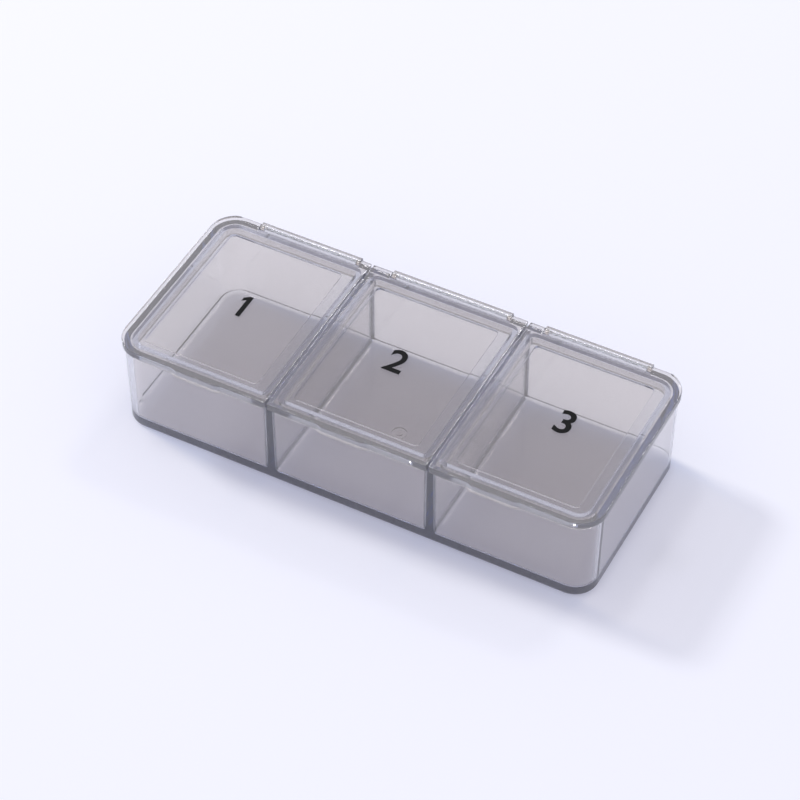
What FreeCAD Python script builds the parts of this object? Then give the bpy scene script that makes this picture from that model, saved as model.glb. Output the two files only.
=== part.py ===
import FreeCAD
import Part
import Sketcher
import os

# Daily pill organizer: a clear tray with three compartments and a hinged snap lid over each.
# Frame: origin at the middle of the underside, +X along the row towards compartment 3,
# -Y to the thumb lips, +Z up. Millimetres and degrees.

touching = 1e-4  # closer than this counts as the same place

doc = FreeCAD.newDocument("PillOrganizer")
sheet = doc.addObject("Spreadsheet::Sheet", "Sizes")

sizes = [
    # tray shell
    ("trayLength", 104.0),
    ("trayWidth", 43.6),
    ("rimHeight", 20.2),
    ("cornerRadius", 5.2),
    ("wallThickness", 1.2),
    ("floorThickness", 1.6),
    ("wallDraft", 0.75),
    ("footRadius", 0.8),
    ("insideRadius", 0.9),
    # dividers
    ("dividerPitch", 35.2),
    ("dividerThickness", 1.2),
    ("dividerDrop", 0.25),
    ("dividerDraft", 0.5),
    # gate mark moulded in the underside
    ("gateDiameter", 3.2),
    ("gateDepth", 0.4),
    ("gateStubDiameter", 1.4),
    ("gateStubHeight", 0.25),
    # lids
    ("lidThickness", 1.45),
    ("lidGap", 0.15),
    ("lidOverhang", 0.5),
    ("lidSeam", 0.4),
    ("earCornerRadius", 0.8),
    ("seamCornerRadius", 0.45),
    ("lidEdgeRadius", 0.22),
    # sunken panel, measured from the compartment's walls
    ("panelSideInset", 3.4),
    ("panelFrontInset", 2.1),
    ("panelRearInset", 3.9),
    ("panelDepth", 0.55),
    ("panelCornerRadius", 1.0),
    # skirt under the lid, just inside the compartment's walls
    ("skirtGap", 0.4),
    ("skirtWall", 1.1),
    ("skirtDepth", 2.0),
    ("skirtCornerRadius", 2.2),
    # thumb lips
    ("lipPitch", 32.3),
    ("lipWidth", 11.0),
    ("lipReach", 0.45),
    ("lipEndSlope", 1.2),
    ("lipShift", 0.75),
    ("lipDrop", 0.45),
    # hinges
    ("hingeInset", 0.25),
    ("railFront", 0.7),
    ("railRear", 1.0),
    ("railAbove", 1.0),
    ("railFoot", 0.3),
    ("railRadius", 0.5),
    ("railFrontRadius", 0.7),
    ("railShift", 0.6),
    ("earMiddle", 4.1),
    ("earInner", 3.0),
    ("earOuter", 8.7),
    ("earGap", 0.2),
    ("notchReach", 1.3),
    ("pinDiameter", 0.8),
    ("pinLength", 0.7),
    ("pinClearance", 0.05),
    ("socketExtra", 0.2),
]
for row, (name, number) in enumerate(sizes, start=1):
    sheet.set(f"A{row}", name)
    sheet.set(f"B{row}", str(number))
    sheet.setAlias(f"B{row}", name)

# sizes that follow from the ones above
derived = [
    ("cutAcross", "=trayLength * 2"),
    ("rimHalfX", "=trayLength / 2"),
    ("rimHalfY", "=trayWidth / 2"),
    ("insideHalfX", "=rimHalfX - wallThickness"),
    ("insideHalfY", "=rimHalfY - wallThickness"),
    ("rootInWall", "=wallThickness / 3"),
    ("dividerX", "=dividerPitch / 2"),
    ("dividerHalf", "=dividerThickness / 2"),
    ("lidUnder", "=rimHeight + lidGap"),
    ("lidTop", "=lidUnder + lidThickness"),
    ("hingeY", "=rimHalfY - hingeInset"),
    ("hingeZ", "=lidUnder + lidThickness / 2"),
    ("railTop", "=hingeZ + railAbove"),
    ("lidFrontY", "=-(rimHalfY + lidOverhang)"),
    ("lidOuterX", "=rimHalfX + lidOverhang"),
    ("lidRearY", "=hingeY + lidThickness / 2"),
    ("notchY", "=hingeY - notchReach"),
    ("lidCornerRadius", "=cornerRadius + lidOverhang"),
    ("socketDiameter", "=pinDiameter + 2 * pinClearance"),
    ("lipRootY", "=lidFrontY + lidOverhang / 4"),
    ("lipUnder", "=lidUnder - lipDrop"),
    ("lipTipY", "=lidFrontY - lipReach"),
]
for row, (name, formula) in enumerate(derived, start=len(sizes) + 1):
    sheet.set(f"A{row}", name)
    sheet.set(f"B{row}", formula)
    sheet.setAlias(f"B{row}", name)
doc.recompute()


def bound(formula):
    """The formula with every size name pointing into the sheet."""
    words = []
    word = ""
    for letter in formula + " ":
        if letter.isalnum():
            word += letter
            continue
        if word[:1].isalpha() and word not in ("tan", "cos", "sin"):
            word = "Sizes." + word
        words.append(word + letter)
        word = ""
    return "".join(words).strip()


def value(formula):
    """The number that a formula gives now."""
    number = sheet.evalExpression(bound(formula))
    return float(getattr(number, "Value", number))


def newBody(label):
    body = doc.addObject("PartDesign::Body", label)
    body.Label = label
    return body


def newSketch(body, name, planeRole, offset="0"):
    """A sketch on one of the body's origin planes, raised along its normal by a formula."""
    sketch = body.newObject("Sketcher::SketchObject", name)
    plane = [item for item in body.Origin.OriginFeatures if item.Role == planeRole][0]
    sketch.AttachmentSupport = (plane, [""])
    sketch.MapMode = "FlatFace"
    sketch.setExpression("AttachmentOffset.Base.z", bound(offset))
    return sketch


def bindPoint(sketch, geometry, point, xFormula=None, yFormula=None):
    """Holds one sketch point at a formula's distance from the sketch's origin."""
    for kind, formula in (("DistanceX", xFormula), ("DistanceY", yFormula)):
        if formula is None:
            continue
        constraint = Sketcher.Constraint(kind, -1, 1, geometry, point, value(formula))
        index = sketch.addConstraint(constraint)
        sketch.setExpression(f"Constraints[{index}]", bound(formula))


def alignedLoop(sketch, corners):
    """A closed counter-clockwise loop of edges along X and Y. A corner is (x, y, radius or None)."""
    points = [FreeCAD.Vector(value(x), value(y), 0) for x, y, radius in corners]
    count = len(points)
    arrivals = []
    departures = []
    for i, (x, y, radius) in enumerate(corners):
        cut = value(radius) if radius else 0.0
        arrivals.append(points[i] + (points[i - 1] - points[i]).normalize() * cut)
        departures.append(points[i] + (points[(i + 1) % count] - points[i]).normalize() * cut)
    lines = []
    for i in range(count):
        following = (i + 1) % count
        segment = Part.LineSegment(departures[i], arrivals[following])
        line = sketch.addGeometry(segment, False)
        lines.append(line)
        flat = abs(points[following].y - points[i].y) < touching
        sketch.addConstraint(Sketcher.Constraint("Horizontal" if flat else "Vertical", line))
        bindPoint(sketch, line, 1, None if flat else corners[i][0], corners[i][1] if flat else None)
    for i, (x, y, radius) in enumerate(corners):
        if not radius:
            sketch.addConstraint(Sketcher.Constraint("Coincident", lines[i - 1], 2, lines[i], 1))
            continue
        size = value(radius)
        centre = arrivals[i] + departures[i] - points[i]
        middle = centre + (points[i] - centre).normalize() * size
        arc = sketch.addGeometry(Part.Arc(arrivals[i], middle, departures[i]), False)
        turnsLeft = (arrivals[i] - centre).cross(departures[i] - centre).z > 0
        first, last = (1, 2) if turnsLeft else (2, 1)
        sketch.addConstraint(Sketcher.Constraint("Tangent", lines[i - 1], 2, arc, first))
        sketch.addConstraint(Sketcher.Constraint("Tangent", arc, last, lines[i], 1))
        index = sketch.addConstraint(Sketcher.Constraint("Radius", arc, size))
        sketch.setExpression(f"Constraints[{index}]", bound(radius))


def roundedBox(sketch, lowX, highX, lowY, highY, radii):
    """A rounded rectangle; radii: front left, front right, rear right, rear left."""
    places = [(lowX, lowY), (highX, lowY), (highX, highY), (lowX, highY)]
    alignedLoop(sketch, [(x, y, radius) for (x, y), radius in zip(places, radii)])


def polygon(sketch, places):
    """A closed loop of straight edges through the given (x, y) formulas."""
    points = [FreeCAD.Vector(value(x), value(y), 0) for x, y in places]
    lines = []
    for i in range(len(points)):
        segment = Part.LineSegment(points[i], points[(i + 1) % len(points)])
        lines.append(sketch.addGeometry(segment, False))
    for i, (x, y) in enumerate(places):
        sketch.addConstraint(Sketcher.Constraint("Coincident", lines[i - 1], 2, lines[i], 1))
        bindPoint(sketch, lines[i], 1, x, y)


def circle(sketch, x, y, diameter):
    """A full circle at (x, y)."""
    centre = FreeCAD.Vector(value(x), value(y), 0)
    up = FreeCAD.Vector(0, 0, 1)
    ring = sketch.addGeometry(Part.Circle(centre, up, value(diameter) / 2), False)
    bindPoint(sketch, ring, 3, x, y)
    index = sketch.addConstraint(Sketcher.Constraint("Diameter", ring, value(diameter)))
    sketch.setExpression(f"Constraints[{index}]", bound(diameter))


def extrude(body, kind, name, sketch, length, reverse=False, midplane=False, draft=None):
    """A Pad or Pocket of one sketch, its length and draft bound to the sheet."""
    feature = body.newObject("PartDesign::" + kind, name)
    feature.Profile = sketch
    feature.Reversed = reverse
    feature.Midplane = midplane
    feature.setExpression("Length", bound(length))
    if draft:
        feature.setExpression("TaperAngle", bound(draft))
    doc.recompute()
    return feature


def roundEdges(body, name, radius, test):
    """A fillet on every edge of the body's shape that the test picks."""
    base = body.Tip
    picked = [f"Edge{i}" for i, edge in enumerate(base.Shape.Edges, start=1) if test(edge)]
    fillet = body.newObject("PartDesign::Fillet", name)
    fillet.Base = (base, picked)
    fillet.setExpression("Radius", bound(radius))
    doc.recompute()
    return fillet


def startsAt(edge, height):
    """True for an edge whose lowest point is at this height."""
    return abs(edge.BoundBox.ZMin - height) < touching


def level(edge, height):
    """True for an edge that lies flat at this height."""
    return startsAt(edge, height) and edge.BoundBox.ZLength < touching


def addRail(body, number, rail):
    """A bar on the rear rim that overhangs the wall, with a blind pin socket in each end."""
    low, high = rail
    profile = newSketch(body, f"RailProfile{number}", "YZ_Plane", f"({low} + {high}) / 2")
    alignedLoop(profile, [
        ("hingeY - railFront", "rimHeight - railFoot", None),
        ("rimHalfY - rootInWall", "rimHeight - railFoot", None),
        ("rimHalfY - rootInWall", "rimHeight", None),
        ("hingeY + railRear", "rimHeight", None),
        ("hingeY + railRear", "railTop", "railRadius"),
        ("hingeY - railFront", "railTop", "railFrontRadius"),
    ])
    extrude(body, "Pad", f"Rail{number}", profile, f"{high} - ({low})", midplane=True)
    for name, end, inward in (("Left", low, True), ("Right", high, False)):
        mouth = newSketch(body, f"SocketMouth{name}{number}", "YZ_Plane", end)
        circle(mouth, "hingeY", "hingeZ", "socketDiameter")
        depth = "pinLength + socketExtra"
        extrude(body, "Pocket", f"Socket{name}{number}", mouth, depth, reverse=inward)


def makeTray():
    """Floor, walls, dividers and hinge rails, all one moulding."""
    body = newBody("tray")
    outline = newSketch(body, "TrayOutline", "XY_Plane", "rimHeight")
    roundedBox(outline, "-rimHalfX", "rimHalfX", "-rimHalfY", "rimHalfY", ["cornerRadius"] * 4)
    extrude(body, "Pad", "TrayBlock", outline, "rimHeight", reverse=True, draft="-wallDraft")
    roundEdges(body, "TrayFoot", "footRadius", lambda edge: level(edge, 0))

    cavity = newSketch(body, "CavityOutline", "XY_Plane", "rimHeight")
    corners = ["cornerRadius - wallThickness"] * 4
    roundedBox(cavity, "-insideHalfX", "insideHalfX", "-insideHalfY", "insideHalfY", corners)
    extrude(body, "Pocket", "Cavity", cavity, "rimHeight - floorThickness", draft="-wallDraft")

    for number, side in ((1, "-"), (2, "")):
        outline = newSketch(body, f"DividerOutline{number}", "XY_Plane", "rimHeight - dividerDrop")
        reach = "(insideHalfY + rootInWall)"
        low = f"{side}dividerX - dividerHalf"
        high = f"{side}dividerX + dividerHalf"
        roundedBox(outline, low, high, "-" + reach, reach, [None] * 4)
        depth = "rimHeight - dividerDrop - floorThickness / 2"
        extrude(body, "Pad", f"Divider{number}", outline, depth, reverse=True, draft="dividerDraft")

    floor = value("floorThickness")
    insideY = value("insideHalfY")
    roundEdges(
        body, "InsideRounds", "insideRadius",
        lambda edge: startsAt(edge, floor) and (level(edge, floor)
                                                or abs(edge.BoundBox.Center.y) < insideY),
    )

    for number, lid in enumerate(lids.values(), start=1):
        addRail(body, number, lid["rail"])

    ring = newSketch(body, "GateRing", "XY_Plane")
    circle(ring, "0", "0", "gateDiameter")
    extrude(body, "Pocket", "GateHollow", ring, "gateDepth", reverse=True)
    stub = newSketch(body, "GateStubOutline", "XY_Plane", "gateDepth")
    circle(stub, "0", "0", "gateStubDiameter")
    extrude(body, "Pad", "GateStub", stub, "gateStubHeight", reverse=True)
    return body


def addSkirtLoop(sketch, lid, inset):
    """One outline of a lid's skirt, at this inset from the compartment's walls."""
    low, high = lid["walls"]
    radii = []
    for corner in lid["radii"]:
        wallRadius = "cornerRadius - wallThickness" if corner == big else "skirtCornerRadius"
        radii.append(f"{wallRadius} - ({inset})")
    roundedBox(sketch, f"{low} + {inset}", f"{high} - ({inset})", f"-(insideHalfY - ({inset}))",
               f"insideHalfY - ({inset})", radii)


def makeLid(label, lid):
    """A lid with a sunken panel, a skirt inside the walls, a thumb lip and two hinge ears with pins."""
    low, high = lid["edges"]
    wallLow, wallHigh = lid["walls"]
    lipX = lid["lip"]
    frontLeft, frontRight, rearRight, rearLeft = lid["radii"]
    notchLow = lid["rail"][0] + " - earGap"
    notchHigh = lid["rail"][1] + " + earGap"
    body = newBody(label)
    outline = newSketch(body, label + "Outline", "XY_Plane", "lidUnder")
    alignedLoop(outline, [
        (low, "lidFrontY", frontLeft),
        (high, "lidFrontY", frontRight),
        (high, "lidRearY", rearRight),
        (notchHigh, "lidRearY", None),
        (notchHigh, "notchY", None),
        (notchLow, "notchY", None),
        (notchLow, "lidRearY", None),
        (low, "lidRearY", rearLeft),
    ])
    extrude(body, "Pad", label + "Plate", outline, "lidThickness")

    lip = newSketch(body, label + "LipOutline", "XY_Plane", "lipUnder")
    polygon(lip, [
        (f"{lipX} - lipWidth / 2", "lidFrontY"),
        (f"{lipX} - lipWidth / 2 + lipEndSlope", "lipTipY"),
        (f"{lipX} + lipWidth / 2 - lipEndSlope", "lipTipY"),
        (f"{lipX} + lipWidth / 2", "lidFrontY"),
        (f"{lipX} + lipWidth / 2", "lipRootY"),
        (f"{lipX} - lipWidth / 2", "lipRootY"),
    ])
    extrude(body, "Pad", label + "Lip", lip, "lidThickness + lipDrop")
    top = value("lidTop")
    roundEdges(body, label + "TopRounds", "lidEdgeRadius", lambda edge: level(edge, top))
    under = value("lipUnder")
    front = value("lidFrontY")
    roundEdges(
        body, label + "LipRound", "lidEdgeRadius",
        lambda edge: level(edge, under) and edge.BoundBox.YMax < front - touching,
    )

    ear = newSketch(body, label + "EarProfile", "YZ_Plane")
    roundRear(ear)
    extrude(body, "Pocket", label + "EarRound", ear, "cutAcross", midplane=True)

    recess = newSketch(body, label + "PanelOutline", "XY_Plane", "lidTop")
    panel = (f"{wallLow} + panelSideInset", f"{wallHigh} - panelSideInset",
             "-(insideHalfY - panelFrontInset)", "insideHalfY - panelRearInset")
    roundedBox(recess, *panel, ["panelCornerRadius"] * 4)
    extrude(body, "Pocket", label + "Panel", recess, "panelDepth")
    skirt = newSketch(body, label + "SkirtOutline", "XY_Plane", "lidUnder")
    addSkirtLoop(skirt, lid, "skirtGap")
    addSkirtLoop(skirt, lid, "skirtGap + skirtWall")
    extrude(body, "Pad", label + "Skirt", skirt, "skirtDepth", reverse=True)

    for name, x, inward in (("Left", notchLow, False), ("Right", notchHigh, True)):
        root = newSketch(body, f"{label}PinRoot{name}", "YZ_Plane", x)
        circle(root, "hingeY", "hingeZ", "pinDiameter")
        extrude(body, "Pad", f"{label}Pin{name}", root, "earGap + pinLength", reverse=inward)
    return body


def roundRear(sketch):
    """What lies outside a full round of the lid's thickness about the hinge axis."""
    radius = value("lidThickness / 2")
    axis = FreeCAD.Vector(value("hingeY"), value("hingeZ"), 0)
    up = FreeCAD.Vector(0, 1, 0)
    back = FreeCAD.Vector(1, 0, 0)
    spare = radius
    corners = [
        axis + up * radius,
        axis + up * (radius + spare),
        axis + up * (radius + spare) + back * (radius + spare),
        axis - up * (radius + spare) + back * (radius + spare),
        axis - up * (radius + spare),
        axis - up * radius,
    ]
    lines = [sketch.addGeometry(Part.LineSegment(a, b), False) for a, b in zip(corners, corners[1:])]
    arc = sketch.addGeometry(Part.Arc(corners[-1], axis + back * radius, corners[0]), False)
    for before, after in zip(lines, lines[1:]):
        sketch.addConstraint(Sketcher.Constraint("Coincident", before, 2, after, 1))
    sketch.addConstraint(Sketcher.Constraint("Coincident", lines[-1], 2, arc, 1))
    sketch.addConstraint(Sketcher.Constraint("Coincident", arc, 2, lines[0], 1))
    bindPoint(sketch, arc, 3, "hingeY", "hingeZ")
    bindPoint(sketch, arc, 1, "hingeY", "hingeZ - lidThickness / 2")
    bindPoint(sketch, arc, 2, "hingeY", None)
    bindPoint(sketch, lines[1], 1, "hingeY", "hingeZ + lidThickness")
    bindPoint(sketch, lines[2], 1, "hingeY + lidThickness", "hingeZ + lidThickness")
    bindPoint(sketch, lines[3], 1, "hingeY + lidThickness", "hingeZ - lidThickness")
    bindPoint(sketch, lines[4], 1, "hingeY", "hingeZ - lidThickness")


# along X for each lid: its edges, its compartment's walls, its rail's ends and its lip's middle;
# radii are the corners in plan: front left, front right, rear right, rear left
halfSeam = "lidSeam / 2"
big, small, ear = "lidCornerRadius", "seamCornerRadius", "earCornerRadius"
lids = {
    "lid_1": {
        "edges": ("-lidOuterX", f"-dividerX - {halfSeam}"),
        "walls": ("-insideHalfX", "-dividerX - dividerHalf"),
        "rail": ("-lidOuterX + earOuter + railShift", f"-dividerX - {halfSeam} - earInner + railShift"),
        "lip": "-lipPitch - lipShift",
        "radii": (big, small, ear, big),
    },
    "lid_2": {
        "edges": (f"-dividerX + {halfSeam}", f"dividerX - {halfSeam}"),
        "walls": ("-dividerX + dividerHalf", "dividerX - dividerHalf"),
        "rail": (f"-dividerX + {halfSeam} + earMiddle + railShift",
                 f"dividerX - {halfSeam} - earMiddle + railShift"),
        "lip": "-lipShift",
        "radii": (small, small, ear, ear),
    },
    "lid_3": {
        "edges": (f"dividerX + {halfSeam}", "lidOuterX"),
        "walls": ("dividerX + dividerHalf", "insideHalfX"),
        "rail": (f"dividerX + {halfSeam} + earInner + railShift", "lidOuterX - earOuter + railShift"),
        "lip": "lipPitch - lipShift",
        "radii": (small, big, big, ear),
    },
}

parts = [makeTray()] + [makeLid(label, lid) for label, lid in lids.items()]
doc.recompute()

for item in doc.Objects:
    if "Invalid" in item.State or "Error" in item.State:
        raise RuntimeError(f"{item.Name} failed: {item.State}")
for body in parts:
    shape = body.Shape
    if shape.isNull() or not shape.isValid() or len(shape.Solids) != 1:
        raise RuntimeError(f"{body.Label} isn't one valid solid")

os.makedirs("parts", exist_ok=True)
for body in parts:
    body.Shape.exportStep(f"parts/{body.Label}.step")
    print(body.Label, "volume", round(body.Shape.Volume, 1), "mm3")
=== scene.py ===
import math

import bpy
from mathutils import Matrix, Vector


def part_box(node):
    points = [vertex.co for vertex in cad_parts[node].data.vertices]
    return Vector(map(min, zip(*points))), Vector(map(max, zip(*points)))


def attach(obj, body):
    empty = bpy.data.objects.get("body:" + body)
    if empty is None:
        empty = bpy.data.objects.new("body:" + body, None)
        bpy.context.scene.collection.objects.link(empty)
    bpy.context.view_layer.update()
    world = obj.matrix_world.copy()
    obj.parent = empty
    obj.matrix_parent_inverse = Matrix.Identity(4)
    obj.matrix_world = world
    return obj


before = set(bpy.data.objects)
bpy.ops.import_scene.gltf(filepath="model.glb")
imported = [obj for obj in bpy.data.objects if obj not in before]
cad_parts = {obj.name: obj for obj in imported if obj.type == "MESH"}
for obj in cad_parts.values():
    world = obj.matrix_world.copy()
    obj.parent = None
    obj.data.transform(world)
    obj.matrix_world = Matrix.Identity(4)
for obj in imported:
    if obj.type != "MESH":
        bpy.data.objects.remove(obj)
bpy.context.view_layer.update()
mm = 0.001


def linear(hexColour):  # sRGB hex to the linear colour that the shaders take
    parts = [int(hexColour[i:i + 2], 16) / 255 for i in (1, 3, 5)]
    rgb = [c / 12.92 if c <= 0.04045 else ((c + 0.055) / 1.055) ** 2.4 for c in parts]
    return (*rgb, 1.0)


def newMaterial(name):
    material = bpy.data.materials.new(name)
    material.use_nodes = True
    material.node_tree.nodes.clear()
    return material, material.node_tree


# adds one node: settings are its properties, inputs are numbers, colours or sockets to link
def add(tree, kind, inputs=None, **settings):
    node = tree.nodes.new(kind)
    for key, setting in settings.items():
        setattr(node, key, setting)
    for key, source in (inputs or {}).items():
        if isinstance(source, bpy.types.NodeSocket):
            tree.links.new(source, node.inputs[key])
        else:
            node.inputs[key].default_value = source
    return node


# The camera, set out from the photo: a long lens above the front right corner
camera = {
    "azimuth": 27.55,
    "elevation": 46.14,
    "roll": 0.247,
    "aimRight": 0.164,  # how far the picture's middle lies right of the object's origin, in mm
    "aimUp": 7.565,
    "distance": 583.65,
    "focalPixels": 2902.6,  # the lens in pixels of an 800 pixel frame
    "framePixels": 800,
}


def buildCamera(c):
    azimuth, elevation, roll = (math.radians(c[k]) for k in ("azimuth", "elevation", "roll"))
    back = Vector((math.sin(azimuth) * math.cos(elevation), -math.cos(azimuth) * math.cos(elevation),
                   math.sin(elevation)))
    right = Vector((math.cos(azimuth), math.sin(azimuth), 0))
    up = back.cross(right)
    right, up = (right * math.cos(roll) + up * math.sin(roll),
                 up * math.cos(roll) - right * math.sin(roll))
    place = (right * c["aimRight"] + up * c["aimUp"] + back * c["distance"]) * mm
    data = bpy.data.cameras.new("camera")
    data.sensor_width = 36
    data.lens = c["focalPixels"] / c["framePixels"] * data.sensor_width
    data.clip_start = 0.01
    data.clip_end = 20
    view = bpy.data.objects.new("camera", data)
    view.matrix_world = Matrix((
        (right.x, up.x, back.x, place.x),
        (right.y, up.y, back.y, place.y),
        (right.z, up.z, back.z, place.z),
        (0, 0, 0, 1),
    ))
    bpy.context.scene.collection.objects.link(view)
    bpy.context.scene.camera = view


buildCamera(camera)
print("camera is set")

# Injection-moulded styrene resin from a polished mould, tinted smoky grey. It gives the eye a clear
# grey sheet with sharp highlights, and slate blue wherever light runs along inside a wall.
# Lengths are in mm.
smokyStyrene = {
    "ior": 1.57,
    "roughness": 0.012,
    "tint": "#fffaf4",  # slightly warm, for light that goes through
    "milkiness": 0.08,  # the share of light that each face scatters
    "absorptionColour": "#4a8ed6",  # long paths lose red and green first
    "absorptionDensity": 88.0,  # per metre
    "wallPass": "#fffefb",  # what each upright surface leaves of the light that falls on the floor
    "levelPass": "#e0dcdd",  # the same for level surfaces
    "rippleScale": 18.0,  # the long swirls that the melt leaves
    "rippleHeight": 0.004,
    "rippleTwist": 0.6,
    "hazeScale": 9.0,  # patches dulled by handling
    "hazeFrom": (0.45, 0.75),  # the noise levels where a patch starts and is full
    "hazeRoughness": 0.02,
    "hairlineWidth": 0.16,  # fine scratches from a drawer or a bag, drawn as wide as they need to show
    "hairlineLength": 14.0,
    "hairlineTurn": 35.0,  # degrees off the row
    "hairlineFrom": (0.68, 0.78),  # the noise levels where a scratch starts and is full
    "hairlineRoughness": 0.1,
    "hairlineDepth": 0.0012,
    "speckSpacing": 4.0,  # specks of dust
    "speckRadius": 0.1,
    "speckBlur": 0.3,  # the share of its radius over which a speck fades
    "speckRoughness": 0.3,
}


# fine scratches all one way: 1 on a scratch, 0 beside it
def addHairlines(tree, place, s):
    across, along = 1 / (s["hairlineWidth"] * mm), 1 / (s["hairlineLength"] * mm)
    start, full = s["hairlineFrom"]
    turned = add(tree, "ShaderNodeMapping", {"Vector": place, "Scale": (across, along, along),
                                             "Rotation": (0, 0, math.radians(s["hairlineTurn"]))})
    streaks = add(tree, "ShaderNodeTexNoise", {"Vector": turned.outputs[0], "Scale": 1.0, "Detail": 1.0})
    return add(tree, "ShaderNodeMapRange", {"Value": streaks.outputs["Fac"], "From Min": start,
                                            "From Max": full}).outputs[0]


# dust: 1 in a speck, 0 around it
def addSpecks(tree, place, s):
    cells = add(tree, "ShaderNodeTexVoronoi", {"Vector": place, "Scale": 1 / (s["speckSpacing"] * mm)})
    edge = s["speckRadius"] / s["speckSpacing"]
    return add(tree, "ShaderNodeMapRange", {
        "Value": cells.outputs["Distance"], "From Min": edge * (1 + s["speckBlur"]),
        "From Max": edge * (1 - s["speckBlur"])}).outputs[0]


def makeSmokyStyrene(s):
    material, tree = newMaterial("smokyStyrene")
    place = add(tree, "ShaderNodeTexCoord").outputs["Object"]
    ripple = add(tree, "ShaderNodeTexNoise", {"Vector": place, "Scale": 1 / (s["rippleScale"] * mm),
                                              "Detail": 2.0, "Distortion": s["rippleTwist"]})
    swirl = add(tree, "ShaderNodeBump", {"Height": ripple.outputs["Fac"], "Strength": 1.0,
                                         "Distance": s["rippleHeight"] * mm})
    hairlines = addHairlines(tree, place, s)
    bump = add(tree, "ShaderNodeBump", {"Height": hairlines, "Strength": 1.0, "Normal": swirl.outputs[0],
                                        "Distance": s["hairlineDepth"] * mm}, invert=True)
    haze = add(tree, "ShaderNodeTexNoise", {"Vector": place, "Scale": 1 / (s["hazeScale"] * mm),
                                            "Detail": 4.0})
    start, full = s["hazeFrom"]
    roughness = add(tree, "ShaderNodeMapRange", {
        "Value": haze.outputs["Fac"], "From Min": start, "From Max": full,
        "To Min": s["roughness"], "To Max": s["roughness"] + s["hazeRoughness"]}).outputs[0]
    specks = addSpecks(tree, place, s)
    for mask, extra in ((hairlines, s["hairlineRoughness"]), (specks, s["speckRoughness"])):
        roughness = add(tree, "ShaderNodeMath", {0: mask, 1: extra, 2: roughness},
                        operation="MULTIPLY_ADD").outputs[0]
    plastic = add(tree, "ShaderNodeBsdfPrincipled", {
        "Base Color": linear(s["tint"]), "Transmission Weight": 1 - s["milkiness"], "IOR": s["ior"],
        "Roughness": roughness, "Normal": bump.outputs["Normal"]})
    # light on its way to the floor goes straight through, dimmed more by level surfaces than by walls
    facing = add(tree, "ShaderNodeSeparateXYZ", {0: add(tree, "ShaderNodeTexCoord").outputs["Normal"]})
    level = add(tree, "ShaderNodeMath", {0: facing.outputs["Z"]}, operation="ABSOLUTE")
    passed = add(tree, "ShaderNodeMix", {0: level.outputs[0], 6: linear(s["wallPass"]),
                                         7: linear(s["levelPass"])}, data_type="RGBA")
    passing = add(tree, "ShaderNodeBsdfTransparent", {"Color": passed.outputs[2]})
    rays = add(tree, "ShaderNodeLightPath")
    straight = add(tree, "ShaderNodeMath", {0: rays.outputs["Is Shadow Ray"],
                                            1: rays.outputs["Is Diffuse Ray"]}, operation="MAXIMUM")
    both = add(tree, "ShaderNodeMixShader", {0: straight.outputs[0],
                                             1: plastic.outputs[0], 2: passing.outputs[0]})
    depth = add(tree, "ShaderNodeVolumeAbsorption", {"Color": linear(s["absorptionColour"]),
                                                     "Density": s["absorptionDensity"]})
    add(tree, "ShaderNodeOutputMaterial", {"Surface": both.outputs[0], "Volume": depth.outputs[0]})
    return material


def dressNodes(material):
    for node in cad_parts.values():
        node.data.materials.clear()
        node.data.materials.append(material)


styrene = makeSmokyStyrene(smokyStyrene)
dressNodes(styrene)
print("plastic is on the tray and lids")

# One plain number on each lid, in screen-printed epoxy ink. It gives the eye a dense black with a
# dull shine and edges that stand a hair above the plastic. Lengths are in mm.
numberPrint = {
    "capHeight": 6.0,
    "capShare": 0.7,  # the font's cap height over its size
    "stroke": 0.14,  # added on each side of the font's shape
    "inkThickness": 0.03,
    "lift": 0.012,  # keeps the ink's underside off the plastic
    "panelDepth": 0.55,  # the lid's sunken panel, under its rim
    "oneShape": ((0.14, 0), (0.31, 0), (0.31, 1), (0.18, 1), (0, 0.86), (0, 0.7), (0.14, 0.8)),
    "places": {"lid_1": ("1", -35.2, -0.4), "lid_2": ("2", -0.7, -0.1), "lid_3": ("3", 35.6, 0.5)},
    "colour": "#0b0b0d",
    "ior": 1.5,
    "specular": 0.2,
    "roughness": (0.5, 0.7),
    "meshScale": 0.12,  # the print screen's weave
    "meshFrom": (0.3, 0.75),  # the noise levels at the lowest and the highest roughness
    "meshDepth": 0.01,
    "meshStrength": 0.4,
}


def makeInk(p):
    material, tree = newMaterial("blackScreenInk")
    place = add(tree, "ShaderNodeTexCoord").outputs["Object"]
    weave = add(tree, "ShaderNodeTexNoise", {"Vector": place, "Scale": 1 / (p["meshScale"] * mm),
                                             "Detail": 3.0})
    dull = add(tree, "ShaderNodeMapRange", {
        "Value": weave.outputs["Fac"], "From Min": p["meshFrom"][0], "From Max": p["meshFrom"][1],
        "To Min": p["roughness"][0], "To Max": p["roughness"][1]})
    bump = add(tree, "ShaderNodeBump", {"Height": weave.outputs["Fac"], "Strength": p["meshStrength"],
                                        "Distance": p["meshDepth"] * mm})
    ink = add(tree, "ShaderNodeBsdfPrincipled", {
        "Base Color": linear(p["colour"]), "Roughness": dull.outputs[0], "IOR": p["ior"],
        "Specular IOR Level": p["specular"], "Normal": bump.outputs["Normal"]})
    add(tree, "ShaderNodeOutputMaterial", {"Surface": ink.outputs[0]})
    return material


def asMesh(curveObject, name):
    bpy.context.view_layer.update()
    graph = bpy.context.evaluated_depsgraph_get()
    mesh = bpy.data.meshes.new_from_object(curveObject.evaluated_get(graph))
    matrix = curveObject.matrix_world.copy()
    bpy.data.objects.remove(curveObject)
    made = bpy.data.objects.new(name, mesh)
    bpy.context.scene.collection.objects.link(made)
    mesh.transform(matrix)
    return made


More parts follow.
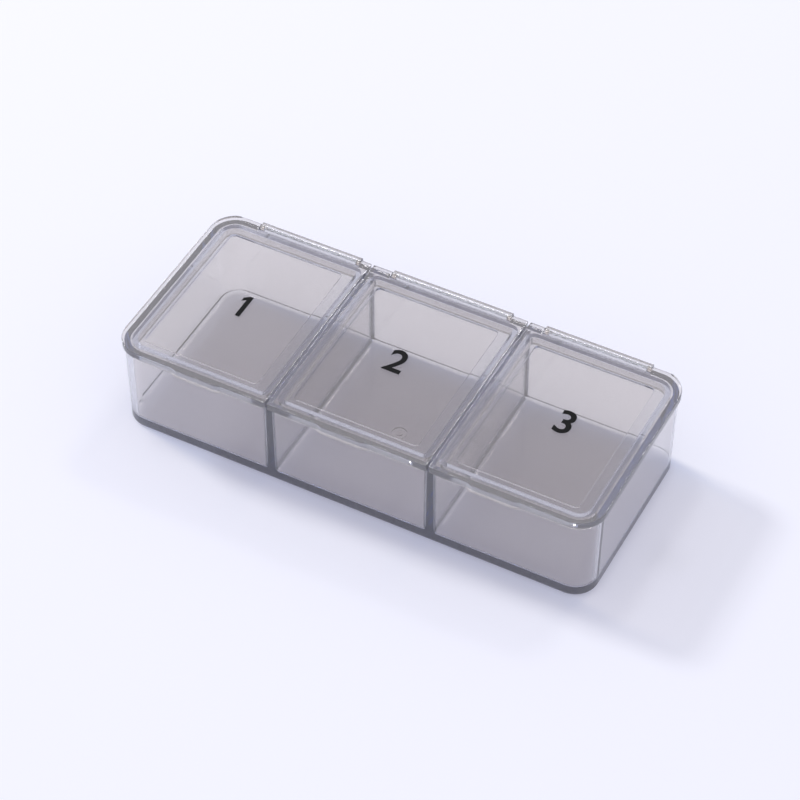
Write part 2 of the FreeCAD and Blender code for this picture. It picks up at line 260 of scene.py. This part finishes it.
# the built-in font's 1 is a bare bar, so this one has its own outline, in cap heights
def makeOne(name, p):
    outline = bpy.data.curves.new(name, "CURVE")
    outline.dimensions = "2D"
    outline.fill_mode = "BOTH"
    spline = outline.splines.new("POLY")
    spline.points.add(len(p["oneShape"]) - 1)
    spline.use_cyclic_u = True
    width = max(x for x, _ in p["oneShape"])
    for point, (x, y) in zip(spline.points, p["oneShape"]):
        point.co = ((x - width / 2) * p["capHeight"] * mm, (y - 0.5) * p["capHeight"] * mm, 0, 1)
    return outline


def makeDigit(name, character, p):
    text = bpy.data.curves.new(name, "FONT")
    text.body = character
    text.align_x = "CENTER"
    text.align_y = "CENTER"
    text.size = p["capHeight"] / p["capShare"] * mm
    text.offset = p["stroke"] * mm
    return text


def printNumber(lid, character, x, y, ink, p):
    name = lid + "Number"
    shape = makeOne(name, p) if character == "1" else makeDigit(name, character, p)
    shape.extrude = p["inkThickness"] / 2 * mm
    number = bpy.data.objects.new(name, shape)
    bpy.context.scene.collection.objects.link(number)
    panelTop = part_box(lid)[1].z - p["panelDepth"] * mm
    number.location = (x * mm, y * mm, panelTop + (p["lift"] + p["inkThickness"] / 2) * mm)
    made = asMesh(number, f"{lid}_number")
    made.data.materials.clear()
    made.data.materials.append(ink)
    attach(made, lid)


ink = makeInk(numberPrint)
for lid, (character, x, y) in numberPrint["places"].items():
    printNumber(lid, character, x, y, ink, numberPrint)
print("numbers are printed")

# The table: uncoated white card, a little cool. It gives the eye an even white without a shine, on
# which only the box's shadow shows.
card = {
    "colour": "#f3f4ff",
    "roughness": 0.9,
    "specular": 0.1,
    "size": 6.0,  # metres
    "gap": 0.15,  # mm under the box
}


def buildFloor(c):
    half = c["size"] / 2
    mesh = bpy.data.meshes.new("floor")
    z = -c["gap"] * mm
    corners = [(-half, -half, z), (half, -half, z), (half, half, z), (-half, half, z)]
    mesh.from_pydata(corners, [], [(0, 1, 2, 3)])
    floor = bpy.data.objects.new("floor", mesh)
    bpy.context.scene.collection.objects.link(floor)
    material, tree = newMaterial("whiteCard")
    paper = add(tree, "ShaderNodeBsdfPrincipled", {
        "Base Color": linear(c["colour"]), "Roughness": c["roughness"],
        "Specular IOR Level": c["specular"]})
    add(tree, "ShaderNodeOutputMaterial", {"Surface": paper.outputs[0]})
    mesh.materials.append(material)


buildFloor(card)

# A soft window at the back left throws the shadow. Two pale strips draw the bright lines on the
# rounded edges, and the room is an even pale grey.
lamps = {
    "distance": 3.0,  # metres
    "colour": "#fdfcff",
    "windows": {  # direction from the object, width, height in metres, watts
        "window": ((-0.74, 0.14, 0.66), 0.45, 0.45, 38.0),
        "stripAbove": ((-0.32, 0.12, 0.94), 0.45, 0.45, 10.0),
        "stripBehind": ((0.12, 0.62, 0.77), 0.6, 0.3, 9.0),
    },
    "roomColour": "#f3f3f7",
    "roomFront": (0.35, -0.85, 0.4),  # the room is brightest in front of the box
    "roomLow": 0.38,  # its strength behind the box and in front
    "roomHigh": 0.79,
    "bounces": 24,  # the light passes many plastic faces
    "passes": 32,
}


def buildWindow(name, c):
    toward, width, height, watts = c["windows"][name]
    data = bpy.data.lights.new(name, "AREA")
    data.shape = "RECTANGLE"
    data.size = width
    data.size_y = height
    data.energy = watts
    data.color = linear(c["colour"])[:3]
    window = bpy.data.objects.new(name, data)
    direction = Vector(toward).normalized()
    window.location = direction * c["distance"]
    window.rotation_euler = direction.to_track_quat("Z", "Y").to_euler()
    bpy.context.scene.collection.objects.link(window)


def buildRoom(c):
    world = bpy.data.worlds.new("room")
    bpy.context.scene.world = world
    world.use_nodes = True
    world.node_tree.nodes.clear()
    look = add(world.node_tree, "ShaderNodeTexCoord").outputs["Generated"]
    facing = add(world.node_tree, "ShaderNodeVectorMath",
                 {0: look, 1: Vector(c["roomFront"]).normalized()}, operation="DOT_PRODUCT")
    level = add(world.node_tree, "ShaderNodeMapRange", {
        "Value": facing.outputs["Value"], "From Min": -1.0, "From Max": 1.0,
        "To Min": c["roomLow"], "To Max": c["roomHigh"]})
    glow = add(world.node_tree, "ShaderNodeBackground", {"Color": linear(c["roomColour"]),
                                                         "Strength": level.outputs[0]})
    add(world.node_tree, "ShaderNodeOutputWorld", {"Surface": glow.outputs[0]})


for name in lamps["windows"]:
    buildWindow(name, lamps)
buildRoom(lamps)
scene = bpy.context.scene
scene.view_settings.view_transform = "Standard"
scene.cycles.max_bounces = lamps["bounces"]
scene.cycles.transmission_bounces = lamps["bounces"]
scene.cycles.transparent_max_bounces = lamps["passes"]
scene.cycles.caustics_refractive = False  # the plastic's straight rays already carry this light
print("floor and lights are set")
